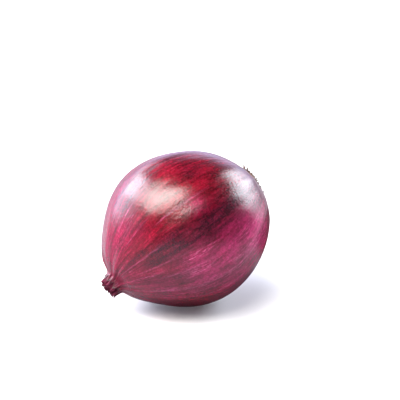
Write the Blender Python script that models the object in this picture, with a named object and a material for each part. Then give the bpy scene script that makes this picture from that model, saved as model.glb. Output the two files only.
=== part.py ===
"""A whole red onion lying on its side, at rest on a small flat spot.

Metres, +Z up. The origin is the middle of the flat spot. The neck points along +X and dips
towards the ground. Bulb, neck and roots are modelled in the onion's own upright frame, where
+Z runs from the root end to the neck, and an empty then lays them down.
"""

import math
import random

import bmesh
import bpy
from mathutils import Matrix, Vector

# Rest pose: how far the neck dips below the horizontal, and the turn about the onion's own axis
NECK_DIP = math.radians(25.4)
AXIAL_TURN = math.radians(32.6)
SPOT_DEPTH = 0.0008

# Bulb: a rounded body, drawn out to the neck. Angles are measured at its centre from the neck.
BODY_RADIUS = 0.0381
SQUATNESS = 0.015
NECK_TAPER = 0.0259
LEAN = 0.0224
NECK_RISE = 0.0072
NECK_SPREAD = 0.50
NECK_POWER = 2.1
NECK_SHIFT = 0.0011
SHIFT_SPREAD = 0.25
FLAT_ANGLE = math.radians(153)
FLAT_TURN = math.radians(170)
FLAT_DEPTH = 0.0011
FLAT_SPREAD = 0.36
NECK_ANGLE = 0.136
ROOT_ANGLE = 0.25
ROOT_DIMPLE = 0.0016
ROOT_SPREAD = 0.30
NECK_HEIGHT = 0.0436
ROOT_DEPTH = 0.0370

# Relief along the meridians, as (waves round the bulb, height, phase)
RIBS = ((7, 0.00018, 0.4), (11, 0.00015, 2.1), (17, 0.00009, 4.0))
PLEATS = ((9, 0.00026, 1.0), (14, 0.00022, 3.3), (19, 0.00012, 5.2))
PLEAT_REACH = 0.42

# Dry neck: a pleated wall, as (share of its height, radius), and rings of leaf bases inside it,
# as (radius, how far below the top it ends). Each ring is cut off raggedly.
GAP = 0.0003
STUB_WALL = ((0.72, 0.0043), (0.48, 0.0046), (0.22, 0.0052), (0.0, 0.0060))
STUB_LENGTH = 0.0064
STUB_BEND = 0.0012
STUB_OVAL = 0.05
OVAL_PHASE = 0.6
STUB_RINGS = ((0.0039, 0.0), (0.0025, 0.0004), (0.0011, 0.0009))
RING_EDGE = 0.0003
RING_GROOVE = 0.0017
GROOVE_STEP = 0.0009
RAGGEDNESS = 0.0006
TEETH = ((3, 1.0, 1.0), (7, 0.7, 2.3), (13, 0.6, 4.1))
TIP_SLANT = 0.0010
SLANT_TURN = math.radians(15)

# Root end: a corky plate, as (share of its radius, depth), with short dried roots
PLATE_RADIUS = 0.0088
PLATE_PROFILE = ((0.94, 0.0), (0.95, 0.0007), (0.88, 0.0011), (0.55, 0.0018))
PLATE_DEPTH = 0.0020
PLATE_LOBES = ((5, 0.035, 1.0), (9, 0.020, 0.0))
ROOTS = 62
ROOT_LENGTHS = (0.0018, 0.0040)
RIM_SHORTENING = 0.5
ROOT_THICKNESS = 0.0011
ROOT_TAPER = 0.6
ROOT_REACH = 0.86
ROOT_INSET = 0.0005
ROOT_SPLAY = math.radians(12)
RIM_SPLAY = math.radians(48)
UNEVEN_SPLAY = math.radians(10)
UNEVEN_TURN = 0.25
SIDE_CURL = 0.0012
OUTWARD_CURL = (-0.0004, 0.0006)
ROOT_SIDES = 5
ROOT_JOINTS = 3
ROOT_SEED = 7

COLUMNS = 84
ROWS = 38
ROW_CROWDING = 1.12
STUB_COLUMNS = 56
PLATE_COLUMNS = 40

SKIN_COLOUR = (0.26, 0.014, 0.060)
DRY_COLOUR = (0.105, 0.018, 0.030)
CORK_COLOUR = (0.16, 0.085, 0.045)


def waves(terms, turn):
    """Height of a sum of waves round the axis."""
    return sum(height * math.cos(count * turn + phase) for count, height, phase in terms)


def bulb_radius(angle, turn):
    """Distance of the skin from the bulb's centre."""
    body = 1 + SQUATNESS * math.cos(2 * angle) - NECK_TAPER * math.cos(3 * angle)
    body -= LEAN * math.sin(2 * angle) * math.cos(turn)
    neck = NECK_RISE * math.exp(-((angle / NECK_SPREAD) ** NECK_POWER))
    dimple = ROOT_DIMPLE * math.exp(-(((math.pi - angle) / ROOT_SPREAD) ** 2))
    apart = math.cos(angle) * math.cos(FLAT_ANGLE)
    apart += math.sin(angle) * math.sin(FLAT_ANGLE) * math.cos(turn - FLAT_TURN)
    dimple += FLAT_DEPTH * math.exp((apart - 1) * 2 / FLAT_SPREAD**2)
    relief = waves(RIBS, turn) * math.sin(angle)
    relief += waves(PLEATS, turn) * math.exp(-((angle / PLEAT_REACH) ** 2))
    return BODY_RADIUS * body + neck - dimple + relief


def neck_offset(angle):
    """How far the neck sits to one side of the bulb's axis."""
    return NECK_SHIFT * math.exp(-((angle / SHIFT_SPREAD) ** 2))


def bulb_point(angle, turn):
    radius = bulb_radius(angle, turn)
    across = radius * math.sin(angle)
    return Vector(
        (across * math.cos(turn) + neck_offset(angle), across * math.sin(turn), radius * math.cos(angle))
    )


def rest_matrix():
    """Lays the upright onion down, with the middle of its flat spot at the origin."""
    turned = Matrix.Rotation(math.pi / 2 + NECK_DIP, 4, "Y") @ Matrix.Rotation(AXIAL_TURN, 4, "Z")
    steps = 180
    angles = [math.pi * i / steps for i in range(1, steps)]
    turns = [math.pi * j / steps for j in range(2 * steps)]
    lowest = min((turned @ bulb_point(a, t) for a in angles for t in turns), key=lambda p: p.z)
    return Matrix.Translation(-lowest - Vector((0, 0, SPOT_DEPTH))) @ turned


def ring_points(columns, point_at):
    """One closed ring of points, counter-clockwise seen from the neck."""
    return [point_at(2 * math.pi * j / columns) for j in range(columns)]


def skinned(rings, top, bottom):
    """A closed mesh from rings listed from the top down, closed by a point at each end."""
    mesh = bmesh.new()
    rows = [[mesh.verts.new(p) for p in ring] for ring in rings]
    top_vert = mesh.verts.new(top)
    bottom_vert = mesh.verts.new(bottom)
    count = len(rows[0])
    for j in range(count):
        k = (j + 1) % count
        mesh.faces.new((top_vert, rows[0][j], rows[0][k]))
        mesh.faces.new((bottom_vert, rows[-1][k], rows[-1][j]))
        for upper, lower in zip(rows, rows[1:]):
            mesh.faces.new((upper[j], lower[j], lower[k], upper[k]))
    bmesh.ops.recalc_face_normals(mesh, faces=mesh.faces)
    return mesh


def add_object(name, mesh, parent=None, material=None):
    data = bpy.data.meshes.new(name)
    mesh.to_mesh(data)
    mesh.free()
    data.shade_smooth()
    obj = bpy.data.objects.new(name, data)
    bpy.context.scene.collection.objects.link(obj)
    obj.parent = parent
    if material:
        data.materials.append(material)
    return obj


def make_material(name, colour, roughness, coat=0.0):
    material = bpy.data.materials.new(name)
    material.use_nodes = True
    shader = material.node_tree.nodes["Principled BSDF"]
    shader.inputs["Base Color"].default_value = (*colour, 1)
    shader.inputs["Roughness"].default_value = roughness
    shader.inputs["Metallic"].default_value = 0
    shader.inputs["Coat Weight"].default_value = coat
    return material


def make_bulb(parent, rest):
    """The bulb, with its flat spot cut by the ground plane."""
    rings = []
    for i in range(ROWS + 1):
        share = (i / ROWS) ** ROW_CROWDING
        angle = NECK_ANGLE + (math.pi - ROOT_ANGLE - NECK_ANGLE) * share
        rings.append(ring_points(COLUMNS, lambda turn: bulb_point(angle, turn)))
    for point in rings[0]:
        point.z = NECK_HEIGHT
    for point in rings[-1]:
        point.z = -ROOT_DEPTH
    mesh = skinned(rings, (neck_offset(0), 0, NECK_HEIGHT), (0, 0, -ROOT_DEPTH))
    back = rest.inverted()
    cut = bmesh.ops.bisect_plane(
        mesh,
        geom=mesh.verts[:] + mesh.edges[:] + mesh.faces[:],
        plane_co=back.translation,
        plane_no=back.to_3x3() @ Vector((0, 0, 1)),
        clear_inner=True,
    )
    edges = [item for item in cut["geom_cut"] if isinstance(item, bmesh.types.BMEdge)]
    bmesh.ops.edgeloop_fill(mesh, edges=edges)
    bmesh.ops.recalc_face_normals(mesh, faces=mesh.faces)
    skin = make_material("skin", SKIN_COLOUR, 0.28, coat=0.3)
    return add_object("bulb", mesh, parent, skin)


def ragged(turn, phase):
    """Uneven height of a torn edge round the neck."""
    return RAGGEDNESS * sum(size * math.sin(count * turn + spin * phase) for count, size, spin in TEETH)


def make_dry_neck(parent):
    """The cut stub: one outer wall and three ragged rings of leaf bases, as one body."""
    foot = NECK_HEIGHT + GAP
    shift = neck_offset(0)
    foot_radius = STUB_WALL[-1][1]

    def stub_ring(radius, height, phase=None):
        def point_at(turn):
            oval = 1 + STUB_OVAL * math.cos(2 * turn + OVAL_PHASE)
            wide = radius * (oval + waves(PLEATS, turn) / foot_radius)
            lift = ragged(turn, phase) if phase else 0
            lift -= TIP_SLANT * (height / STUB_LENGTH) ** 2 * (0.5 + 0.5 * math.cos(turn - SLANT_TURN))
            bend = shift + STUB_BEND * height / STUB_LENGTH
            return Vector((wide * math.cos(turn) + bend, wide * math.sin(turn), foot + height + lift))

        return ring_points(STUB_COLUMNS, point_at)

    rings = []
    for i, (radius, drop) in reversed(list(enumerate(STUB_RINGS))):
        tip = STUB_LENGTH - drop
        rings.append(stub_ring(radius - RING_EDGE, tip, phase=1.0 + i))
        rings.append(stub_ring(radius + RING_EDGE, tip - RING_EDGE, phase=1.0 + i))
        if i:
            rings.append(stub_ring(radius + GROOVE_STEP, tip - RING_GROOVE))
    for share, radius in STUB_WALL:
        rings.append(stub_ring(radius, share * STUB_LENGTH))
    middle = foot + STUB_LENGTH - RING_GROOVE - TIP_SLANT / 2 - STUB_RINGS[-1][1]
    mesh = skinned(rings, (shift + STUB_BEND, 0, middle), (shift, 0, foot))
    return add_object("dry_neck", mesh, parent, make_material("dry_scale", DRY_COLOUR, 0.65))


def make_root(start, heading, length, curl):
    """One dried root: a tapered, slightly curling tube that starts inside the plate."""
    side = heading.orthogonal().normalized()
    across = heading.cross(side)
    rings = []
    for i in range(ROOT_JOINTS + 1):
        share = 1 - i / ROOT_JOINTS
        centre = start + heading * length * share + curl * share**2
        radius = ROOT_THICKNESS / 2 * (1 - ROOT_TAPER * share)
        spokes = [2 * math.pi * j / ROOT_SIDES for j in range(ROOT_SIDES)]
        rings.append([centre + radius * (side * math.cos(a) + across * math.sin(a)) for a in spokes])
    tip = start + heading * (length + ROOT_THICKNESS / 4) + curl
    return skinned(rings, tip, start)


def join_into(obj, pieces):
    """One Boolean union of an object with its repeats, applied, and the repeats removed."""
    holder = bpy.data.collections.new("repeats")
    bpy.context.scene.collection.children.link(holder)
    for piece in pieces:
        bpy.context.scene.collection.objects.unlink(piece)
        holder.objects.link(piece)
    union = obj.modifiers.new("union", "BOOLEAN")
    union.operation = "UNION"
    union.operand_type = "COLLECTION"
    union.collection = holder
    bpy.context.view_layer.update()
    graph = bpy.context.evaluated_depsgraph_get()
    joined = bpy.data.meshes.new_from_object(obj.evaluated_get(graph))
    obj.modifiers.remove(union)
    obj.data = joined
    for piece in pieces:
        bpy.data.objects.remove(piece)
    bpy.data.collections.remove(holder)


def make_root_tuft(parent):
    """The corky plate and its roots, spread over it by the golden angle."""
    top = -ROOT_DEPTH - GAP

    def plate_ring(share, depth):
        def point_at(turn):
            wide = PLATE_RADIUS * share * (1 + waves(PLATE_LOBES, turn))
            return Vector((wide * math.cos(turn), wide * math.sin(turn), top - depth))

        return ring_points(PLATE_COLUMNS, point_at)

    rings = [plate_ring(share, depth) for share, depth in PLATE_PROFILE]
    cork = make_material("root", CORK_COLOUR, 0.85)
    mesh = skinned(rings, (0, 0, top), (0, 0, top - PLATE_DEPTH))
    plate = add_object("root_tuft", mesh, parent, cork)
    draw = random.Random(ROOT_SEED)
    golden = math.pi * (3 - math.sqrt(5))
    roots = []
    for i in range(ROOTS):
        share = math.sqrt((i + 0.5) / ROOTS)
        turn = i * golden + draw.uniform(-UNEVEN_TURN, UNEVEN_TURN)
        outward = Vector((math.cos(turn), math.sin(turn), 0))
        start = outward * PLATE_RADIUS * ROOT_REACH * share + Vector((0, 0, top - ROOT_INSET))
        splay = ROOT_SPLAY + RIM_SPLAY * share + draw.uniform(-UNEVEN_SPLAY, UNEVEN_SPLAY)
        heading = Vector((0, 0, -math.cos(splay))) + outward * math.sin(splay)
        length = draw.uniform(*ROOT_LENGTHS) * (1 - RIM_SHORTENING * share**2)
        curl = Vector((-outward.y, outward.x, 0)) * draw.uniform(-SIDE_CURL, SIDE_CURL)
        curl += outward * draw.uniform(*OUTWARD_CURL)
        roots.append(add_object("root", make_root(start, heading, length, curl), parent))
    join_into(plate, roots)
    return plate


def main():
    for obj in list(bpy.data.objects):
        bpy.data.objects.remove(obj)
    onion = bpy.data.objects.new("onion", None)
    bpy.context.scene.collection.objects.link(onion)
    rest = rest_matrix()
    onion.matrix_world = rest
    bpy.context.view_layer.update()
    make_bulb(onion, rest)
    make_dry_neck(onion)
    make_root_tuft(onion)


main()
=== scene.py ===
"""A whole red onion on a white floor: glossy veined skin, ragged dry neck and dried root tuft."""

import math

import bpy
import numpy as np
from mathutils import Matrix, Vector


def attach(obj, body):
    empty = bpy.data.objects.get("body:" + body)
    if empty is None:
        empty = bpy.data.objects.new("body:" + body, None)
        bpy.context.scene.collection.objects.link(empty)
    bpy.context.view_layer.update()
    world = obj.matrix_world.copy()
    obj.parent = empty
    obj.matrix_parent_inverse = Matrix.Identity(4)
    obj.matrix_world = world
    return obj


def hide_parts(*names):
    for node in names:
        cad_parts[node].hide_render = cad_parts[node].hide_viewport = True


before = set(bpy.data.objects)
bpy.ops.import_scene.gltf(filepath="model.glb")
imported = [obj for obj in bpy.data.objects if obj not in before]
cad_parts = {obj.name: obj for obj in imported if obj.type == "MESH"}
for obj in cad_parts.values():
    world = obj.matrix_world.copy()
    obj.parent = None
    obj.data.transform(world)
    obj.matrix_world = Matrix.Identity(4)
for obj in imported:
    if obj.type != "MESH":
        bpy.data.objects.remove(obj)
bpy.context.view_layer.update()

DEGREE = math.pi / 180

# The photograph's camera, with the lens and the sensor in millimetres. All other lengths are in metres.
IMAGE_SIDE = 400
LENS = 100.0
SENSOR = 36.0
CAMERA_DISTANCE = 0.53
CAMERA_ELEVATION = math.radians(21)
CAMERA_HEADING = math.radians(209.3)
BULB_CENTRE_PIXEL = (188.9, 226.1)

# The onion's shape, as in the CAD source. It is worked out upright, with the neck on top: an angle is
# counted from the neck down, and a turn goes round the axis.
NECK_DIP = math.radians(25.4)
AXIAL_TURN = math.radians(32.6)
SPOT_DEPTH = 0.0008
BODY_RADIUS = 0.0381
SQUATNESS = 0.015
NECK_TAPER = 0.0259
LEAN = 0.0224
NECK_RISE = 0.0072
NECK_SPREAD = 0.50
NECK_POWER = 2.1
NECK_SHIFT = 0.0011
SHIFT_SPREAD = 0.25
FLAT_ANGLE = math.radians(153)
FLAT_TURN = math.radians(170)
FLAT_DEPTH = 0.0011
FLAT_SPREAD = 0.36
ROOT_DIMPLE = 0.0016
ROOT_SPREAD = 0.30
NECK_HEIGHT = 0.0436
ROOT_DEPTH = 0.0370
PLEAT_REACH = 0.42
STUB_LENGTH = 0.0064
STUB_BEND = 0.0012
STUB_OVALNESS = 0.05
STUB_OVAL_PHASE = 0.6
TIP_SLANT = 0.0010
SLANT_TURN = math.radians(15)
PLATE_RADIUS = 0.0088
# Waves round the onion: count, height, phase
RIBS = ((7, 0.00018, 0.4), (11, 0.00015, 2.1), (17, 0.00009, 4.0))
PLEATS = ((9, 0.00026, 1.0), (14, 0.00022, 3.3), (19, 0.00012, 5.2))
# The dry neck's wall: share of its length, radius there
STUB_WALL = ((0.0, 0.0057), (0.22, 0.0052), (0.48, 0.0046), (0.72, 0.0043), (1.0, 0.0040))


def smooth(low, high, value):
    """0 below low, 1 above high, and a smooth ramp between."""
    share = np.clip((value - low) / (high - low), 0, 1)
    return share * share * (3 - 2 * share)


def bell(distance, reach):
    """1 at no distance, falling off smoothly on both sides."""
    return np.exp(-((distance / reach) ** 2))


def between(start, end, share):
    return start + (end - start) * share


def around(count):
    """Evenly spaced turns, once round the axis."""
    return np.arange(count) * 2 * math.pi / count


def turn_past(turn, centre):
    """How far a turn lies past another, the short way round."""
    return (turn - centre + math.pi) % (2 * math.pi) - math.pi


def waves(terms, turn):
    """The sum of several waves round the onion."""
    return sum(height * np.cos(count * turn + phase) for count, height, phase in terms)


def striations(turn, angle, counts, terms, seed, drift=4):
    """Uneven random waves round the bulb, about -1 to 1. The drift lets them run across the meridians."""
    draw = np.random.RandomState(seed)
    total = np.zeros(np.broadcast(turn, angle).shape)
    for _ in range(terms):
        count = draw.randint(*counts)
        phase = draw.uniform(0, 2 * math.pi)
        total = total + np.cos(count * turn + phase + draw.uniform(-drift, drift) * angle)
    return total / math.sqrt(terms)


def torn(turn, size, seed):
    """Uneven height of a torn papery edge."""
    return size * striations(turn, 0, counts=(2, 26), terms=9, seed=seed)


def round_patch(angle, turn, at_angle, at_turn, reach):
    """1 at a place on the bulb, falling off smoothly all round it. The reach is an angle too."""
    near = np.cos(angle) * math.cos(at_angle)
    near = near + np.sin(angle) * math.sin(at_angle) * np.cos(turn - at_turn)
    return np.exp((near - 1) * 2 / reach**2)


def ring(radius, turn, height, shift=0.0):
    """Points round the upright axis, or round one shifted along X."""
    return np.stack([radius * np.cos(turn) + shift, radius * np.sin(turn), height + 0 * turn], axis=-1)


def bulb_radius(angle, turn):
    """Distance of the skin from the bulb's centre."""
    body = 1 + SQUATNESS * np.cos(2 * angle) - NECK_TAPER * np.cos(3 * angle)
    body = body - LEAN * np.sin(2 * angle) * np.cos(turn)
    neck = NECK_RISE * np.exp(-((angle / NECK_SPREAD) ** NECK_POWER))
    dimple = ROOT_DIMPLE * bell(math.pi - angle, ROOT_SPREAD)
    dimple = dimple + FLAT_DEPTH * round_patch(angle, turn, FLAT_ANGLE, FLAT_TURN, FLAT_SPREAD)
    relief = waves(RIBS, turn) * np.sin(angle)
    relief = relief + waves(PLEATS, turn) * bell(angle, PLEAT_REACH)
    return BODY_RADIUS * body + neck - dimple + relief


def bulb_points(angle, turn, lift=0.0):
    """Points of the upright bulb, lifted off its surface."""
    radius = bulb_radius(angle, turn) + lift
    shift = NECK_SHIFT * bell(angle, SHIFT_SPREAD)
    return ring(radius * np.sin(angle), turn, radius * np.cos(angle), shift)


def stub_radius(height, turn):
    """Radius of the dry neck's pleated wall at a height above its foot."""
    shares, radii = zip(*STUB_WALL)
    plain = np.interp(height / STUB_LENGTH, shares, radii)
    oval = 1 + STUB_OVALNESS * np.cos(2 * turn + STUB_OVAL_PHASE)
    return plain * oval + waves(PLEATS, turn) * plain / radii[0]


def stub_shift(height):
    """How far the dry neck's middle is off the bulb's axis at a height above its foot."""
    return NECK_SHIFT + STUB_BEND * height / STUB_LENGTH


def stub_points(height, turn, lift=0.0):
    """Points of the upright neck, lifted off its wall."""
    return ring(stub_radius(height, turn) + lift, turn, NECK_HEIGHT + height, stub_shift(height))


def tip_slant(height, turn):
    """How far the dry neck's top is cut lower towards one side."""
    return TIP_SLANT * (height / STUB_LENGTH) ** 2 * (0.5 + 0.5 * np.cos(turn - SLANT_TURN))


def turned_about(axis, angle):
    """Rotation about the Y or the Z axis."""
    cosine, sine = math.cos(angle), math.sin(angle)
    if axis == "Y":
        return np.array([[cosine, 0, sine], [0, 1, 0], [-sine, 0, cosine]])
    return np.array([[cosine, -sine, 0], [sine, cosine, 0], [0, 0, 1]])


def rest_pose():
    """Rotation and shift that lay the upright onion on its flat spot at the origin."""
    turned = turned_about("Y", math.pi / 2 + NECK_DIP) @ turned_about("Z", AXIAL_TURN)
    angles, turns = np.meshgrid(np.arange(1, 180) * DEGREE, np.arange(360) * DEGREE, indexing="ij")
    points = bulb_points(angles, turns).reshape(-1, 3) @ turned.T
    return turned, -points[points[:, 2].argmin()] - np.array([0, 0, SPOT_DEPTH])


REST_TURN, REST_SHIFT = rest_pose()


def laid_down(points):
    """World places of points of the upright onion, flattened where they would pass the floor."""
    placed = np.asarray(points).reshape(-1, 3) @ REST_TURN.T + REST_SHIFT
    placed[:, 2] = np.maximum(placed[:, 2], 0)
    return placed


def add_piece(name, points, faces, material, node, values=None):
    """A smooth mesh that rides on the onion's body, with optional values kept on its points."""
    mesh = bpy.data.meshes.new(name)
    mesh.from_pydata([tuple(point) for point in points.tolist()], [], faces)
    mesh.update()
    mesh.shade_smooth()
    for key, value in (values or {}).items():
        kind, field = ("FLOAT_VECTOR", "vector") if value.ndim == 2 else ("FLOAT", "value")
        layer = mesh.attributes.new(key, kind, "POINT")
        layer.data.foreach_set(field, value.astype(np.float32).ravel())
    mesh.materials.append(material)
    piece = bpy.data.objects.new(name, mesh)
    bpy.context.scene.collection.objects.link(piece)
    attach(piece, "root")
    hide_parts(node)
    return piece


def grid_faces(rows, columns, first=0):
    """Quads of a grid that closes round, rows listed from the neck down."""
    faces = []
    for row in range(rows - 1):
        upper = first + row * columns
        lower = upper + columns
        for column in range(columns):
            beside = (column + 1) % columns
            faces.append((upper + column, lower + column, lower + beside, upper + beside))
    return faces


def cap_faces(row, columns, centre, facing_up):
    """Triangles that close a row of a grid at a centre point."""
    pairs = [(row + column, row + (column + 1) % columns) for column in range(columns)]
    return [(centre, one, other) if facing_up else (centre, other, one) for one, other in pairs]


class Nodes:
    """Short calls that add and link the shader nodes of a material or a world."""

    def __init__(self, owner):
        owner.use_nodes = True
        self.owner = owner
        self.tree = owner.node_tree
        self.shader = self.tree.nodes.get("Principled BSDF")

    def add(self, kind, **settings):
        made = self.tree.nodes.new("ShaderNode" + kind)
        for key, value in settings.items():
            setattr(made, key, value)
        return made

    def put(self, value, socket):
        """Link one socket to another, or set its value, with a colour as its three parts."""
        if isinstance(value, bpy.types.NodeSocket):
            self.tree.links.new(value, socket)
        elif socket.type == "RGBA":
            socket.default_value = (*value, 1)
        else:
            socket.default_value = value

    def math(self, operation, first, second, clamp=False):
        made = self.add("Math", operation=operation, use_clamp=clamp)
        self.put(first, made.inputs[0])
        self.put(second, made.inputs[1])
        return made.outputs[0]

    def times(self, first, second, clamp=False):
        return self.math("MULTIPLY", first, second, clamp)

    def value(self, name):
        """A value kept on the mesh's points."""
        return self.add("Attribute", attribute_name=name).outputs["Fac"]

    def flow(self, along):
        """Streak space kept on the mesh's points. The smaller along is, the longer the streaks."""
        scaled = self.add("VectorMath", operation="MULTIPLY")
        self.put(self.add("Attribute", attribute_name="flow").outputs["Vector"], scaled.inputs[0])
        scaled.inputs[1].default_value = (1, 1, along)
        return scaled.outputs[0]

    def place(self):
        return self.add("TexCoord").outputs["Object"]

    def noise(self, where, scale, detail=2.0, roughness=0.5):
        made = self.add("TexNoise")
        self.put(where, made.inputs["Vector"])
        made.inputs["Scale"].default_value = scale
        made.inputs["Detail"].default_value = detail
        made.inputs["Roughness"].default_value = roughness
        return made.outputs["Fac"]

    def span(self, value, between, to=(0.0, 1.0)):
        """A smooth ramp: from one number to another while the value crosses the stretch between."""
        made = self.add("MapRange", interpolation_type="SMOOTHSTEP")
        self.put(value, made.inputs["Value"])
        for key, number in zip(("From Min", "From Max", "To Min", "To Max"), (*between, *to)):
            made.inputs[key].default_value = number
        return made.outputs[0]

    def mix(self, share, first, second, blend="MIX"):
        made = self.add("Mix", data_type="RGBA", blend_type=blend)
        self.put(share, made.inputs["Factor"])
        self.put(first, made.inputs["A"])
        self.put(second, made.inputs["B"])
        return made.outputs["Result"]

    def bump(self, height, strength, distance, below=None):
        made = self.add("Bump")
        self.put(height, made.inputs["Height"])
        made.inputs["Strength"].default_value = strength
        made.inputs["Distance"].default_value = distance
        if below:
            self.put(below, made.inputs["Normal"])
        return made.outputs[0]

    def finish(self, colour, roughness, normal=None, **constants):
        """Fill in the shader's sockets, and give the material back."""
        self.put(colour, self.shader.inputs["Base Color"])
        self.put(roughness, self.shader.inputs["Roughness"])
        if normal:
            self.put(normal, self.shader.inputs["Normal"])
        for key, number in constants.items():
            self.shader.inputs[key.replace("_", " ")].default_value = number
        return self.owner


def material_nodes(name):
    return Nodes(bpy.data.materials.new(name))


CRIMSON = (0.092, 0.0009, 0.0060)
RED = (0.185, 0.0018, 0.0110)
MAGENTA = (0.355, 0.0175, 0.100)
BROWN_PURPLE = (0.030, 0.0025, 0.0085)
ROSE = (0.210, 0.0060, 0.035)
VEIN_PINK = (0.450, 0.0750, 0.180)
DRY_TAN = (0.200, 0.085, 0.048)


def skin_material():
    """Outer skin: crimson and magenta with brown-purple bands, streaks and pale veins."""
    nodes = material_nodes("onion_skin")
    # Noises drawn out along the meridians, from hairlines to broad patches and short flecks
    hair = nodes.noise(nodes.flow(0.10), 84, detail=2, roughness=0.6)
    fine = nodes.noise(nodes.flow(0.20), 18, detail=3, roughness=0.6)
    wide = nodes.noise(nodes.flow(0.30), 9, detail=3, roughness=0.6)
    patch = nodes.noise(nodes.flow(0.8), 2.2, detail=2)
    grain = nodes.noise(nodes.flow(0.55), 105, detail=2, roughness=0.7)
    # Noises that are even in all directions
    mottle = nodes.noise(nodes.place(), 640, detail=3, roughness=0.7)
    crinkle = nodes.noise(nodes.place(), 900, detail=1.5, roughness=0.5)

    pink = nodes.times(nodes.value("magenta"), nodes.span(wide, (0.35, 0.65), (0.75, 1.25)), clamp=True)
    red = nodes.times(nodes.value("red"), nodes.span(wide, (0.30, 0.62), (0.35, 1.0)))
    rose = nodes.times(nodes.value("rose"), nodes.span(wide, (0.3, 0.7), (0.7, 1.0)))
    dark = nodes.times(nodes.value("dark"), nodes.span(wide, (0.32, 0.56), (0.45, 1.0)))
    dark = nodes.times(dark, nodes.span(mottle, (0.40, 0.58), (0.70, 1.0)))
    vein = nodes.times(nodes.value("vein"), nodes.span(hair, (0.3, 0.6), (0.35, 1.0)))
    pale = nodes.times(nodes.value("pale"), nodes.span(hair, (0.46, 0.66)))
    colour = nodes.mix(pink, nodes.mix(red, CRIMSON, RED), MAGENTA)
    colour = nodes.mix(rose, colour, ROSE)
    colour = nodes.mix(dark, colour, BROWN_PURPLE)
    colour = nodes.mix(nodes.math("MAXIMUM", vein, pale), colour, VEIN_PINK)
    colour = nodes.mix(nodes.value("dry"), colour, DRY_TAN)

    tone = nodes.span(fine, (0.34, 0.66), (0.66, 1.34))
    tone = nodes.times(tone, nodes.span(hair, (0.34, 0.66), (0.88, 1.12)))
    tone = nodes.times(tone, nodes.span(grain, (0.34, 0.66), (0.72, 1.28)))
    tone = nodes.times(tone, nodes.span(patch, (0.35, 0.65), (0.88, 1.12)))
    colour = nodes.mix(nodes.span(pink, (0.0, 1.0), (1.0, 0.5)), colour, tone, blend="MULTIPLY")
    colour = nodes.mix(1.0, colour, nodes.span(crinkle, (0.35, 0.65), (0.80, 1.20)), blend="MULTIPLY")

    papery = nodes.math("MAXIMUM", nodes.value("dry"), nodes.value("papery"))
    glossy = nodes.span(mottle, (0.35, 0.65), (0.20, 0.27))
    roughness = nodes.math("ADD", glossy, nodes.times(papery, 0.35))
    normal = nodes.bump(hair, 0.6, 0.00005)
    normal = nodes.bump(mottle, 0.5, 0.00006, below=normal)
    normal = nodes.bump(crinkle, 0.8, 0.00009, below=normal)
    normal = nodes.bump(grain, 0.6, 0.00005, below=normal)
    nodes.put(normal, nodes.shader.inputs["Coat Normal"])
    return nodes.finish(colour, roughness, normal, Coat_Weight=0.35, Coat_Roughness=0.14)


# Bands, streaks and veins along the meridians: turn of the middle, half width, first and last angle
# (all in degrees), strength
DARK_BANDS = (
    (97, 4, 22, 50, 0.7), (88, 8, 42, 80, 1.0), (80, 5, 34, 90, 0.9), (84, 12, 78, 134, 0.92),
    (65, 4, 24, 54, 0.55), (60, 4, 32, 64, 0.4), (106, 3, 66, 96, 0.25), (112, 8, 112, 150, 0.5),
    (14, 8, 26, 90, 0.6), (122, 9, 96, 118, 0.45), (152, 10, 92, 140, 0.45), (152, 5, 40, 80, 0.2),
    (196, 8, 30, 90, 0.5), (214, 7, 60, 140, 0.9), (246, 10, 25, 100, 0.8), (276, 6, 50, 130, 0.7),
    (303, 9, 30, 120, 0.9), (335, 7, 60, 140, 0.6),
)
PALE_STREAKS = (
    (68, 2.5, 18, 40, 0.55), (46, 3.0, 34, 62, 0.60), (59, 3.0, 54, 78, 0.60),
    (43, 3.0, 64, 104, 0.55), (71, 2.5, 60, 84, 0.55), (86, 2.0, 14, 30, 0.40),
    (50, 4.0, 92, 128, 0.50), (60, 4.0, 100, 130, 0.40), (36, 2.5, 40, 80, 0.30),
    (128, 3.0, 26, 56, 0.30), (200, 3.0, 30, 100, 0.40), (224, 2.5, 40, 110, 0.35),
    (262, 3.0, 40, 120, 0.45), (292, 3.0, 30, 110, 0.45), (322, 3.0, 40, 120, 0.45),
    (352, 3.0, 30, 110, 0.40),
)
VEINS = (
    (44, 0.8, 14, 125, 0.55), (62, 0.7, 40, 80, 0.35), (91, 0.8, 16, 50, 0.35),
    (135, 0.8, 36, 62, 0.45), (106, 0.6, 62, 98, 0.45), (76, 0.7, 26, 70, 0.25),
    (115, 0.6, 30, 60, 0.3), (30, 0.7, 30, 110, 0.3), (160, 0.9, 30, 120, 0.35),
    (181, 1.0, 20, 110, 0.5), (203, 0.7, 50, 140, 0.4), (229, 1.0, 25, 120, 0.5),
    (258, 0.8, 40, 130, 0.4), (289, 1.0, 20, 110, 0.5), (318, 0.7, 45, 135, 0.4),
    (350, 0.9, 25, 125, 0.5),
)
# How far each end of them fades out, in degrees either way
FIRST_FADE = 8
LAST_FADE = 12


def streaks_along(bands, angle, turn, wobble):
    """How strongly each point lies on one of the bands, which waver by wobble degrees."""
    total = np.zeros(angle.shape)
    degrees = angle / DEGREE
    for centre, width, first, last, strength in bands:
        middle = (centre + wobble * np.sin(3 * angle + centre)) * DEGREE
        across = bell(turn_past(turn, middle), width * DEGREE)
        begun = smooth(first - FIRST_FADE, first + FIRST_FADE, degrees)
        ended = smooth(last - LAST_FADE, last + LAST_FADE, degrees)
        total = np.maximum(total, strength * across * (begun * (1 - ended)))
    return total


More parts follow.
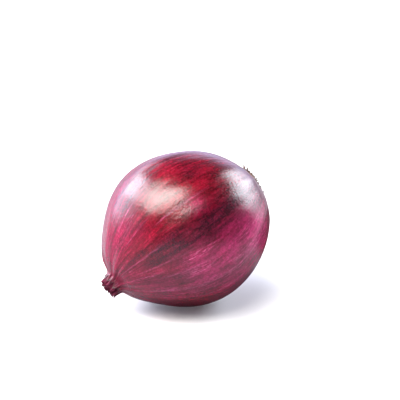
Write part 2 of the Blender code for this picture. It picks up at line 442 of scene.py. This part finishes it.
# Soft round patches: angle, turn and reach (all in degrees), strength
MAGENTA_PATCHES = (
    (118, 50, 22, 1.0), (96, 56, 20, 0.72), (74, 56, 20, 0.75), (92, 34, 22, 0.5),
    (90, 99, 7, 0.35), (58, 43, 12, 0.4), (40, 48, 16, 0.4), (24, 147, 10, 0.4), (50, 166, 14, 0.5),
    (118, 250, 34, 0.8), (80, 270, 30, 0.6), (95, 330, 30, 0.7), (110, 190, 26, 0.5),
)
RED_PATCHES = (
    (50, 110, 14, 1.0), (36, 118, 12, 0.7), (90, 135, 10, 1.0), (112, 120, 11, 0.9),
    (94, 99, 7, 1.0), (94, 109, 12, 1.0), (74, 106, 8, 0.7), (88, 91, 5, 0.5), (66, 100, 8, 0.6),
    (40, 62, 12, 0.6), (76, 168, 18, 0.8), (34, 164, 16, 0.8), (24, 147, 10, 0.7),
    (70, 14, 20, 0.9), (48, 30, 16, 1.0), (26, 24, 14, 1.0), (120, 20, 18, 0.9), (70, 230, 22, 0.8),
    (110, 290, 20, 0.8), (60, 330, 20, 0.7),
)
ROSE_PATCHES = (
    (8, 100, 20, 1.0), (34, 130, 15, 0.9), (22, 70, 14, 0.8), (46, 114, 9, 0.45),
    (60, 160, 26, 0.3), (30, 200, 18, 0.7), (30, 280, 20, 0.8), (36, 350, 18, 0.6),
)


def patches_at(patches, angle, turn):
    """How strongly each point lies in one of the patches."""
    total = np.zeros(angle.shape)
    for at_angle, at_turn, reach, strength in patches:
        patch = round_patch(angle, turn, at_angle * DEGREE, at_turn * DEGREE, reach * DEGREE)
        total = np.maximum(total, strength * patch)
    return total


# Angles between which the skin stops being papery by the neck, and turns dry at the root plate, and
# how strong that and the other changes there are
NECK_PAPER_ANGLES = (0.12, 0.30)
ROOT_DRY_ANGLES = (2.78, 2.9)
NECK_PAPERINESS = 0.7
NECK_DARKNESS = 0.35
SLEEVE_DARKNESS = 0.9
SLEEVE_ROSE_LOSS = 0.8
ROOT_DRYNESS = 0.8
PALE_EVERYWHERE = 0.03


def skin_values(angle, turn, up_sleeve):
    """What the skin's material reads at each point: streak space and the masks of its colours."""
    flow = np.stack([np.cos(turn), np.sin(turn), angle], axis=-1)
    near_neck = 1 - smooth(*NECK_PAPER_ANGLES, angle)
    dark = streaks_along(DARK_BANDS, angle, turn, wobble=1.5)
    dark = dark + SLEEVE_DARKNESS * up_sleeve + NECK_DARKNESS * near_neck
    pale = streaks_along(PALE_STREAKS, angle, turn, wobble=1.0) + PALE_EVERYWHERE
    rose = patches_at(ROSE_PATCHES, angle, turn) * (1 - SLEEVE_ROSE_LOSS * up_sleeve)
    return {
        "flow": flow.reshape(-1, 3),
        "magenta": patches_at(MAGENTA_PATCHES, angle, turn).ravel(),
        "red": patches_at(RED_PATCHES, angle, turn).ravel(),
        "dark": dark.clip(0, 1).ravel(),
        "vein": streaks_along(VEINS, angle, turn, wobble=0.4).ravel(),
        "pale": pale.ravel(),
        "rose": rose.ravel(),
        "dry": (ROOT_DRYNESS * smooth(*ROOT_DRY_ANGLES, angle)).ravel(),
        "papery": np.maximum(up_sleeve, NECK_PAPERINESS * near_neck).ravel(),
    }


# Heights of the skin's fine relief
SWELL_HEIGHT = 0.000014 * math.sqrt(2)
LINE_HEIGHT = 0.000012
# Sharp creases by the neck: turn, half width (degrees), height, last angle (degrees)
NECK_CREASES = (
    (97, 2.2, 0.00035, 22), (103, 1.8, -0.00028, 26), (111, 2.4, 0.00030, 20),
    (124, 2.6, 0.00030, 24), (84, 2.4, -0.00025, 18), (66, 3.0, 0.00025, 20),
    (48, 2.6, -0.00022, 18), (140, 2.4, -0.00022, 20), (30, 3.0, 0.00025, 18),
    (170, 3.0, 0.00028, 22), (205, 2.6, -0.00025, 20), (232, 3.0, 0.00028, 24),
    (262, 2.4, 0.00025, 20), (290, 3.0, -0.00028, 24), (320, 2.6, 0.00028, 20),
    (350, 2.6, -0.00022, 18),
)
# A crease is full up to this share of its last angle, and fades out from there
CREASE_FULL = 0.4


def skin_fine_relief(angle, turn):
    """Faint swells, meridian lines, and the creases by the neck."""
    swells = SWELL_HEIGHT * striations(turn, angle, counts=(10, 34), terms=22, seed=13, drift=24)
    lines = LINE_HEIGHT * striations(turn, angle, counts=(36, 80), terms=14, seed=11)
    relief = (swells + lines) * np.sin(angle)
    for centre, width, height, last in NECK_CREASES:
        fade = 1 - smooth(last * CREASE_FULL, last, angle / DEGREE)
        relief = relief + height * bell(turn_past(turn, centre * DEGREE), width * DEGREE) * fade
    return relief


# The skin's mesh
COLUMNS = 420
LINING_ROWS = 3
SLEEVE_ROWS = 12
FILLET_ROWS = 16
BODY_ROWS = 178
# The torn sleeve round the neck's foot, and its lining, which lies against the neck
SLEEVE_HEIGHT = 0.0034
SLEEVE_TEAR = 0.0007
SLEEVE_PAPER = 0.00016
SLEEVE_FLARE = 0.00025
LINING_GAP = 0.00002
LINING_FOOT = 0.3
# The sleeve carries on the creases at this angle, at a share of their height that falls towards its top
SLEEVE_CREASE_ANGLE = 0.2
SLEEVE_CREASES = 0.7
SLEEVE_CREASE_LOSS = 0.5
# The fillet between the sleeve and the body, and how far it keeps to the direction of each
FILLET_HEIGHT = 0.0014
FILLET_ANGLE = 0.27
SLEEVE_PULL = 0.0035
BODY_PULL = 0.17
# Angles that the colours go by on the lining, and at the top and the foot of the sleeve
LINING_COLOUR_ANGLE = 0.05
SLEEVE_TOP_COLOUR_ANGLE = 0.06
SLEEVE_FOOT_COLOUR_ANGLE = 0.12
# The torn rim at the root plate, with its steps: how far inwards, and share of the rim's depth
SKIN_END = math.pi - 0.262
RIM_DEPTH = 0.00035
RIM_TEAR = 0.00015
RIM_STEPS = ((0.0002, 1.0), (0.0005, 0.9), (0.0008, -0.5))
RIM_COLOUR_ANGLE = SKIN_END + 0.05
# The skin closes behind the root plate, this far inside the bulb's end
CLOSING_DEPTH = 0.0004


def curve_between(share, start, start_way, end, end_way):
    """A place on the smooth curve that leaves start along one way and reaches end along the other."""
    left = 1 - share
    from_start = (1 + 2 * share) * left**2 * start + share * left**2 * start_way
    return from_start + share**2 * (3 - 2 * share) * end + share**2 * (share - 1) * end_way


def sleeve_rows(turns, creases):
    """Rows of the sleeve: its lining upwards, then its outside downwards."""
    top = SLEEVE_HEIGHT + torn(turns, SLEEVE_TEAR, seed=21)
    for share in np.linspace(0, 1, LINING_ROWS):
        height = between(FILLET_HEIGHT * LINING_FOOT, top, share)
        yield stub_points(height, turns, LINING_GAP), LINING_COLOUR_ANGLE, 1.0
    flares = SLEEVE_FLARE * (1 + striations(turns, 0, counts=(5, 19), terms=6, seed=22))
    for i in range(SLEEVE_ROWS):
        share = 1 - i / SLEEVE_ROWS
        height = between(FILLET_HEIGHT, top, share)
        lift = SLEEVE_PAPER + flares * share**3 + creases * (1 - SLEEVE_CREASE_LOSS * share)
        colour_angle = between(SLEEVE_FOOT_COLOUR_ANGLE, SLEEVE_TOP_COLOUR_ANGLE, share)
        yield stub_points(height, turns, lift), colour_angle, share


def fillet_rows(turns, creases):
    """Rows of the smooth curve from the sleeve's foot to the body."""
    start = stub_points(FILLET_HEIGHT, turns, SLEEVE_PAPER + creases)
    end = bulb_points(FILLET_ANGLE, turns, skin_fine_relief(FILLET_ANGLE, turns))
    start_way = np.array([0, 0, -SLEEVE_PULL])
    step = 0.01
    end_way = bulb_points(FILLET_ANGLE + step, turns) - bulb_points(FILLET_ANGLE - step, turns)
    end_way = end_way / (2 * step) * BODY_PULL
    for i in range(FILLET_ROWS):
        share = i / FILLET_ROWS
        points = curve_between(share, start, start_way, end, end_way)
        yield points, between(SLEEVE_FOOT_COLOUR_ANGLE, FILLET_ANGLE, share), 0.0


def body_rows(turns):
    """Rows of the body, from the fillet to the root plate."""
    for angle in np.linspace(FILLET_ANGLE, SKIN_END, BODY_ROWS):
        yield bulb_points(angle, turns, skin_fine_relief(angle, turns)), angle, 0.0


def rim_rows(turns, edge):
    """Rows of the torn rim, which turns inwards over the root plate."""
    depth = RIM_DEPTH + torn(turns, RIM_TEAR, seed=23)
    for inset, share in RIM_STEPS:
        points = edge.copy()
        points[:, :2] *= 1 - inset / np.hypot(edge[:, 0], edge[:, 1])[:, None]
        points[:, 2] -= depth * share
        yield points, RIM_COLOUR_ANGLE, 0.0


def make_skin():
    """The skin: torn sleeve round the neck's foot, body, and a rim tucked in at the root plate."""
    turns = around(COLUMNS)
    creases = skin_fine_relief(SLEEVE_CREASE_ANGLE, turns) * SLEEVE_CREASES
    # Each row holds its points, the angle that its colours go by, and how far up the sleeve it is
    rows = [*sleeve_rows(turns, creases), *fillet_rows(turns, creases), *body_rows(turns)]
    rows += rim_rows(turns, rows[-1][0])
    points, colour_angles, up_sleeve = zip(*rows)
    angle, turn = np.meshgrid(colour_angles, turns, indexing="ij")
    values = skin_values(angle, turn, np.array(up_sleeve)[:, None])
    for key, value in values.items():
        values[key] = np.concatenate([value, value[:1], value[-1:]])
    ends = [[NECK_SHIFT, 0, NECK_HEIGHT], [0, 0, -ROOT_DEPTH + CLOSING_DEPTH]]
    top = len(rows) * COLUMNS
    faces = grid_faces(len(rows), COLUMNS)
    faces += cap_faces(0, COLUMNS, top, True)
    faces += cap_faces(top - COLUMNS, COLUMNS, top + 1, False)
    points = laid_down(np.concatenate([*points, ends]))
    return add_piece("onion_skin", points, faces, skin_material(), "bulb", values)


DRY_PURPLE = (0.036, 0.0030, 0.010)
DRY_RED = (0.078, 0.006, 0.022)
# Paler colour for the raised crests of the neck: a painted highlight
DRY_CREST_HIGHLIGHT = (0.24, 0.060, 0.105)
DRY_TIP = (0.120, 0.026, 0.042)


def neck_material():
    """Dried leaf bases: dark purple-brown, with a painted highlight of paler colour along the raised pleats
    and fibres.
    """
    nodes = material_nodes("dry_neck_scales")
    fine = nodes.noise(nodes.flow(0.12), 9, detail=4, roughness=0.65)
    patch = nodes.noise(nodes.place(), 420, detail=3)
    # A painted highlight: paler colour along the raised crests of the pleats and fibres
    pale = nodes.span(nodes.value("crest_highlight"), (0.45, 1.0))
    pale = nodes.times(pale, nodes.span(fine, (0.35, 0.65), (0.3, 1.0)))
    colour = nodes.mix(nodes.span(patch, (0.35, 0.65)), DRY_PURPLE, DRY_RED)
    colour = nodes.mix(pale, colour, DRY_CREST_HIGHLIGHT)
    colour = nodes.mix(nodes.times(nodes.value("tip"), 0.40), colour, DRY_TIP)
    roughness = nodes.span(fine, (0.3, 0.7), (0.55, 0.75))
    return nodes.finish(colour, roughness, nodes.bump(fine, 0.6, 0.00015), Specular_IOR_Level=0.03)


# Nested torn rings from the outside in: share of the stub's radius, rise of the top, seed
NECK_LAYERS = (
    (1.0, 0.0, 31), (0.80, 0.0004, 32), (0.61, -0.0002, 33), (0.42, 0.0003, 34), (0.22, 0.0, 35),
)
NECK_COLUMNS = 180
INNER_FACE_ROWS = 9
OUTER_FACE_ROWS = 12
LAYER_PAPER = 0.00016
LAYER_TEAR = 0.00055
LAYER_FOLD = 0.05
FIBRE_HEIGHT = 0.00012
TIP_FLARE = 0.00025
# Shares of the stub's length: the top of the rings, the foot of the outer ring and of the others
LAYER_TOP = 0.93
OUTER_FOOT = 0.05
INNER_FOOT = 0.55
# Height of a pleat whose crest gets the full painted highlight, and how much the fine fibres add to it
PLEAT_HIGHLIGHT_HEIGHT = 0.0004
FIBRE_HIGHLIGHT_SHARE = 0.7
# The floor inside the neck: share of the stub's length, and its rings as shares of the stub's radius
NECK_FLOOR = 0.56
NECK_FLOOR_RINGS = (0.1, 0.4, 0.7, 1.0)


def make_neck():
    """Nested dried leaf bases, each a thin torn ring, standing out of one pleated stub."""
    turns = around(NECK_COLUMNS)
    points, faces, flows, crest_highlights, tips = [], [], [], [], []

    def add_rings(rings, heights, tip_shares, crest_highlight):
        faces.extend(grid_faces(len(rings), NECK_COLUMNS, NECK_COLUMNS * len(points)))
        points.extend(rings)
        for height, tip in zip(heights, tip_shares):
            flows.append(ring(1.0, turns, height / STUB_LENGTH))
            crest_highlights.append(crest_highlight)
            tips.append(np.full(NECK_COLUMNS, tip))

    for layer, (scale, rise, seed) in enumerate(NECK_LAYERS):
        top = STUB_LENGTH * LAYER_TOP + rise + torn(turns, LAYER_TEAR, seed=seed)
        foot = STUB_LENGTH * (OUTER_FOOT if layer == 0 else INNER_FOOT)
        fold = LAYER_FOLD * striations(turns, 0, counts=(3, 11), terms=5, seed=seed + 40)
        fibres = striations(turns, 0, counts=(20, 50), terms=6, seed=seed)
        # How high each point lies on the pleats and fibres, 1 on their crests, for the painted highlight
        crest_highlight = np.clip(waves(PLEATS, turns) / PLEAT_HIGHLIGHT_HEIGHT + FIBRE_HIGHLIGHT_SHARE * fibres, -1, 1)
        inner_face = [(-1, share) for share in np.linspace(0, 1, INNER_FACE_ROWS)]
        outer_face = [(1, share) for share in np.linspace(1, 0, OUTER_FACE_ROWS)]
        rings, heights, tip_shares = [], [], []
        for side, share in inner_face + outer_face:
            height = between(foot, top, share)
            radius = stub_radius(height, turns) * scale * (1 + fold * share)
            radius = radius + FIBRE_HEIGHT * striations(turns, share, counts=(20, 50), terms=6, seed=seed)
            radius = radius + side * LAYER_PAPER / 2 + TIP_FLARE * share**4
            lifted = NECK_HEIGHT + height - tip_slant(height, turns)
            rings.append(ring(radius, turns, lifted, stub_shift(height)))
            heights.append(float(np.mean(height)))
            tip_shares.append(share**3)
        add_rings(rings, heights, tip_shares, 0.5 + 0.5 * crest_highlight)

    height = STUB_LENGTH * NECK_FLOOR
    rings = []
    for scale in NECK_FLOOR_RINGS:
        radius = stub_radius(height, turns) * scale
        rings.append(ring(radius, turns, NECK_HEIGHT + height, stub_shift(height)))
    add_rings(rings, [height] * len(rings), [0.0] * len(rings), np.zeros(NECK_COLUMNS))
    values = {
        "flow": np.concatenate(flows),
        "crest_highlight": np.concatenate(crest_highlights),
        "tip": np.concatenate(tips),
    }
    points = laid_down(np.concatenate(points))
    return add_piece("dry_neck_scales", points, faces, neck_material(), "dry_neck", values)


ROOT_DARK = (0.030, 0.009, 0.007)
ROOT_BROWN = (0.120, 0.055, 0.030)
ROOT_PALE = (0.26, 0.15, 0.08)


def root_material():
    """Dull corky brown with paler flecks."""
    nodes = material_nodes("dried_roots")
    patch = nodes.noise(nodes.place(), 500, detail=4, roughness=0.65)
    fine = nodes.noise(nodes.place(), 2600, detail=2)
    colour = nodes.mix(nodes.span(patch, (0.35, 0.65)), ROOT_DARK, ROOT_BROWN)
    colour = nodes.mix(nodes.span(fine, (0.5, 0.75), (0, 0.4)), colour, ROOT_PALE)
    return nodes.finish(colour, 0.8, nodes.bump(patch, 0.6, 0.0002))


# The corky plate's rings: share of its radius, depth below its upper face
PLATE_RINGS = (
    (0.965, 0.0), (0.985, 0.0004), (0.93, 0.0009), (0.80, 0.0013), (0.60, 0.0017), (0.38, 0.0019),
    (0.15, 0.0020),
)
PLATE_COLUMNS = 96
# How far past the bulb's end the plate's upper face and the middle of its lower face are
PLATE_GAP = 0.0003
PLATE_MIDDLE = 0.0024
# Unevenness of its edge, with waves as count, height and phase, and of its face
PLATE_WAVES = ((5, 0.03, 1),)
PLATE_RAGGEDNESS = 0.02
PLATE_BUMPS = 0.00012


def plate_mesh():
    """Points and faces of the corky plate."""
    turns = around(PLATE_COLUMNS)
    rough = 1 + waves(PLATE_WAVES, turns)
    rough = rough + PLATE_RAGGEDNESS * striations(turns, 0, counts=(6, 20), terms=6, seed=51)
    points = []
    for share, depth in PLATE_RINGS:
        bumps = PLATE_BUMPS * striations(turns, 6 * share, counts=(5, 24), terms=8, seed=52)
        points.append(ring(PLATE_RADIUS * share * rough, turns, -ROOT_DEPTH - PLATE_GAP - depth - bumps))
    count = len(PLATE_RINGS)
    lower = count * PLATE_COLUMNS
    faces = grid_faces(count, PLATE_COLUMNS)
    faces += cap_faces(lower - PLATE_COLUMNS, PLATE_COLUMNS, lower, False)
    faces += cap_faces(0, PLATE_COLUMNS, lower + 1, True)
    points.append([[0, 0, -ROOT_DEPTH - PLATE_MIDDLE], [0, 0, -ROOT_DEPTH - PLATE_GAP]])
    return np.concatenate(points), faces


ROOT_COUNT = 150
ROOT_SIDES = 7
ROOT_JOINTS = 7
TURN_UNEVENNESS = 0.3
# Roots stand on the plate's inner part and start a little inside it
ROOTED_SHARE = 0.9
ROOT_FOOT = 0.0008
ROOT_LENGTHS = (0.0018, 0.0044)
ROOT_RADII = (0.00022, 0.00046)
# How much shorter the outermost roots are, how much thinner a root gets, and how uneven it is
OUTER_SHORTNESS = 0.55
ROOT_TAPER = 0.65
ROOT_UNEVENNESS = 0.15
# Angle off the axis in the middle, what the edge adds, and the random part (degrees)
MIDDLE_SPLAY = 10
EDGE_SPLAY = 52
RANDOM_SPLAY = 14
# How far a root's end curls sideways, and in or out
SIDE_CURL = (-0.0016, 0.0016)
OUTWARD_CURL = (-0.0008, 0.0010)


def root_points(draw, turn, share):
    """Points of one root: rings from its foot to its end, and its tip."""
    outward = np.array([math.cos(turn), math.sin(turn), 0])
    sideways = np.array([-outward[1], outward[0], 0])
    start = outward * PLATE_RADIUS * ROOTED_SHARE * share + np.array([0, 0, -ROOT_DEPTH - ROOT_FOOT])
    splay = math.radians(MIDDLE_SPLAY + EDGE_SPLAY * share + draw.uniform(-RANDOM_SPLAY, RANDOM_SPLAY))
    heading = outward * math.sin(splay) + np.array([0, 0, -math.cos(splay)])
    length = draw.uniform(*ROOT_LENGTHS) * (1 - OUTER_SHORTNESS * share**2)
    thick = draw.uniform(*ROOT_RADII)
    curl = sideways * draw.uniform(*SIDE_CURL) + outward * draw.uniform(*OUTWARD_CURL)
    spokes = around(ROOT_SIDES)
    wheel = np.outer(np.cos(spokes), sideways) + np.outer(np.sin(spokes), np.cross(heading, sideways))
    points = []
    for joint in range(ROOT_JOINTS + 1):
        along = joint / ROOT_JOINTS
        centre = start + heading * length * along + curl * along**2
        radius = thick * (1 - ROOT_TAPER * along) * (1 + ROOT_UNEVENNESS * draw.uniform(-1, 1))
        points.append(centre + radius * wheel)
    points.append([start + heading * (length + thick / 2) + curl])
    return np.concatenate(points)


def make_roots():
    """The corky plate and its tapered, curling dried roots."""
    plate, faces = plate_mesh()
    points = [plate]
    first = len(plate)
    draw = np.random.RandomState(61)
    golden_turn = math.pi * (3 - math.sqrt(5))
    for i in range(ROOT_COUNT):
        share = math.sqrt((i + 0.5) / ROOT_COUNT)
        turn = i * golden_turn + draw.uniform(-TURN_UNEVENNESS, TURN_UNEVENNESS)
        points.append(root_points(draw, turn, share))
        faces += grid_faces(ROOT_JOINTS + 1, ROOT_SIDES, first)
        tip = first + (ROOT_JOINTS + 1) * ROOT_SIDES
        faces += cap_faces(tip - ROOT_SIDES, ROOT_SIDES, tip, False)
        first = tip + 1
    points = laid_down(np.concatenate(points))
    return add_piece("dried_roots", points, faces, root_material(), "root_tuft")


# The photograph's own directions along the floor. Places and directions are given as right, away, up.
RIGHT = np.array([math.cos(CAMERA_HEADING), -math.sin(CAMERA_HEADING), 0])
AWAY = np.array([math.sin(CAMERA_HEADING), math.cos(CAMERA_HEADING), 0])
UPWARD = np.array([0, 0, 1.0])


def towards(right, away, up):
    """A unit direction given in the photograph's own frame."""
    way = right * RIGHT + away * AWAY + up * UPWARD
    return way / np.linalg.norm(way)


def make_camera():
    """The photograph's camera, aimed so that the bulb's centre falls on its pixel."""
    near = towards(0, -math.cos(CAMERA_ELEVATION), math.sin(CAMERA_ELEVATION))
    image_up = towards(0, math.sin(CAMERA_ELEVATION), math.cos(CAMERA_ELEVATION))
    metres_per_pixel = CAMERA_DISTANCE * SENSOR / (LENS * IMAGE_SIDE)
    right_by = (BULB_CENTRE_PIXEL[0] - IMAGE_SIDE / 2) * metres_per_pixel
    down_by = (BULB_CENTRE_PIXEL[1] - IMAGE_SIDE / 2) * metres_per_pixel
    target = REST_SHIFT - RIGHT * right_by + image_up * down_by
    place = target + near * CAMERA_DISTANCE
    data = bpy.data.cameras.new("camera")
    data.lens = LENS
    data.sensor_width = SENSOR
    camera = bpy.data.objects.new("camera", data)
    bpy.context.scene.collection.objects.link(camera)
    camera.location = Vector(place)
    camera.rotation_euler = (Vector(target) - Vector(place)).to_track_quat("-Z", "Y").to_euler()
    bpy.context.scene.camera = camera


LIGHT_DISTANCE = 2.0

# Softboxes in the photograph's frame: direction, direction of the long side, spread both ways (degrees),
# brightness, colour
SOFTBOXES = {
    "key": ((-0.40, -0.22, 0.89), (0.82, -0.40, 0.26), (36, 30), 5.9, (1.0, 0.96, 0.92)),
    "key_wide": ((-0.42, -0.29, 0.86), (0.80, -0.36, 0.27), (62, 47), 7.7, (1.0, 0.96, 0.92)),
    "key_right": ((0.06, -0.34, 0.94), (0.38, -0.06, -0.07), (26, 27), 1.8, (1.0, 0.95, 0.93)),
    "bridge": ((-0.74, -0.08, 0.67), (0.23, -0.47, 0.19), (30, 22), 2.5, (0.98, 0.95, 0.98)),
    "left": ((-0.73, 0.38, 0.57), (-0.30, -0.18, -0.26), (25, 22), 8.9, (0.92, 0.97, 1.10)),
    "left_wide": ((-0.83, 0.35, 0.43), (-0.37, -0.21, -0.53), (42, 43), 3.0, (0.92, 0.96, 1.12)),
    "left_top": ((-0.46, 0.75, 0.48), (0.29, 0.20, -0.08), (20, 22), 2.6, (0.90, 0.96, 1.15)),
    "left_glow": ((-0.84, 0.38, 0.28), (0.0, 0.0, 1.0), (34, 26), 1.5, (0.90, 0.94, 1.12)),
    "window": ((0.765, 0.45, 0.46), (0.37, -0.46, -0.12), (37, 31), 7.7, (0.92, 0.97, 1.05)),
    "window_top": ((0.60, 0.75, 0.28), (0.29, -0.22, 0.06), (22, 18), 2.2, (0.90, 0.95, 1.08)),
    "window_wide": ((0.80, 0.52, 0.30), (0.42, -0.44, -0.20), (42, 36), 2.6, (0.90, 0.95, 1.08)),
}
ROUND_BOXES = ("key", "key_wide", "key_right", "window")
# Light from in front that the skin doesn't mirror, with the same settings
FILL = ((0.10, -0.95, 0.14), (1.0, 0.0, 0.0), (70, 24), 3.75, (1.0, 0.97, 1.0))


def add_softbox(name, way, long_side, spread, brightness, colour):
    """An area light that looks equally bright and large from the onion at any distance."""
    data = bpy.data.lights.new(name, "AREA")
    data.shape = "ELLIPSE" if name in ROUND_BOXES else "RECTANGLE"
    data.size, data.size_y = (2 * LIGHT_DISTANCE * math.tan(math.radians(angle) / 2) for angle in spread)
    # An ellipse covers this share of its rectangle
    covered = math.pi / 4 if name in ROUND_BOXES else 1.0
    data.energy = brightness * math.pi * data.size * data.size_y * covered
    data.color = colour
    light = bpy.data.objects.new(name, data)
    bpy.context.scene.collection.objects.link(light)
    light.visible_camera = False
    back = Vector(towards(*way))
    side = Vector(towards(*long_side))
    side = (side - back * side.dot(back)).normalized()
    turned = Matrix((side, back.cross(side), back)).transposed()
    light.matrix_world = Matrix.Translation(Vector(REST_SHIFT) + back * LIGHT_DISTANCE) @ turned.to_4x4()
    return light


# Pale surroundings: direction in the photograph's frame, cosines where it starts and is full, strength
SURROUNDINGS = (
    ((-0.75, 0.66, 0.0), 0.10, 0.85, 0.65),
    ((-0.71, 0.69, 0.08), 0.88, 0.99, 1.2),
    ((0.20, 0.95, 0.25), 0.80, 0.98, 1.00),
    ((-0.93, -0.30, -0.2), 0.70, 0.98, 0.2),
)
SURROUNDINGS_BASE = 0.10
# They fade out upwards: cosines where that starts and ends, and share of the strength left
UPPER_FADE = (0.28, 0.60)
UPPER_STRENGTH = 0.1
SURROUNDINGS_COLOUR = (0.90, 0.93, 1.36)


def make_world():
    """Pale surroundings low down behind the onion, and dark above and on the camera's side."""
    world = bpy.data.worlds.new("studio")
    bpy.context.scene.world = world
    nodes = Nodes(world)
    way = nodes.add("TexCoord").outputs["Generated"]

    def nearness(direction):
        """How near a view direction is to the given one, as a cosine."""
        dot = nodes.add("VectorMath", operation="DOT_PRODUCT")
        nodes.put(way, dot.inputs[0])
        dot.inputs[1].default_value = tuple(direction)
        return dot.outputs["Value"]

    total = SURROUNDINGS_BASE
    for direction, start, full, strength in SURROUNDINGS:
        part = nodes.span(nearness(towards(*direction)), (start, full), (0, strength))
        total = nodes.math("ADD", total, part)
    total = nodes.times(total, nodes.span(nearness(UPWARD), UPPER_FADE, (1.0, UPPER_STRENGTH)))
    background = nodes.tree.nodes["Background"]
    nodes.put(total, background.inputs["Strength"])
    nodes.put(SURROUNDINGS_COLOUR, background.inputs["Color"])


FLOOR_REACH = 3.0
WHITE_FLOOR_DROP = 0.0001
GREY_FLOOR_DROP = 0.0003
FLOOR_WHITE = (0.85, 0.85, 0.85)
# The grey floor is a darker copy of the white one, seen only by the skin's reflections and bounce light:
# painted shade
FLOOR_GREY = (0.29, 0.27, 0.31)
# Colour of the painted shade, the painted contact shadow and the painted dark reflection of a neighbour
FLOOR_SHADED = (0.040, 0.006, 0.012)
# Painted shade on the grey floor: a painted dark reflection of a neighbouring onion, the onion's own
# painted contact shadow and painted shade on the far floor. Right, away, inner and outer reach, share of
# light inside and outside
FLOOR_SHADES = (
    (0.092, 0.092, 0.060, 0.092, 0.0, 1.0),
    (0.010, 0.010, 0.0, 0.068, 0.0, 1.0),
    (0.150, 0.150, 0.30, 0.60, 1.0, 0.45),
)


def add_floor(name, drop, material):
    mesh = bpy.data.meshes.new(name)
    corners = [(x * FLOOR_REACH, y * FLOOR_REACH, 0) for x, y in ((-1, -1), (1, -1), (1, 1), (-1, 1))]
    mesh.from_pydata(corners, [], [(0, 1, 2, 3)])
    mesh.materials.append(material)
    floor = bpy.data.objects.new(name, mesh)
    bpy.context.scene.collection.objects.link(floor)
    floor.location.z = -drop
    return floor


def make_floor():
    """A white floor for the camera, over a darker copy with painted shade that lights the onion and shows
    in its skin.
    """
    white = add_floor("floor", WHITE_FLOOR_DROP, material_nodes("white_floor").finish(FLOOR_WHITE, 1.0))
    white.visible_glossy = False
    white.visible_diffuse = False
    white.visible_shadow = False

    nodes = material_nodes("grey_floor")
    lit = 1.0
    for right, away, inner, outer, inside, outside in FLOOR_SHADES:
        apart = nodes.add("VectorMath", operation="DISTANCE")
        nodes.put(nodes.place(), apart.inputs[0])
        apart.inputs[1].default_value = Vector(REST_SHIFT * (1, 1, 0) + RIGHT * right + AWAY * away)
        lit = nodes.times(nodes.span(apart.outputs["Value"], (inner, outer), (inside, outside)), lit)
    grey = nodes.finish(nodes.mix(lit, FLOOR_SHADED, FLOOR_GREY), 1.0)
    add_floor("grey_floor", GREY_FLOOR_DROP, grey).visible_camera = False


bpy.context.scene.view_settings.view_transform = "Standard"
make_skin()
make_neck()
make_roots()
make_camera()
make_floor()
make_world()
for name, settings in SOFTBOXES.items():
    add_softbox(name, *settings)
add_softbox("fill", *FILL).visible_glossy = False
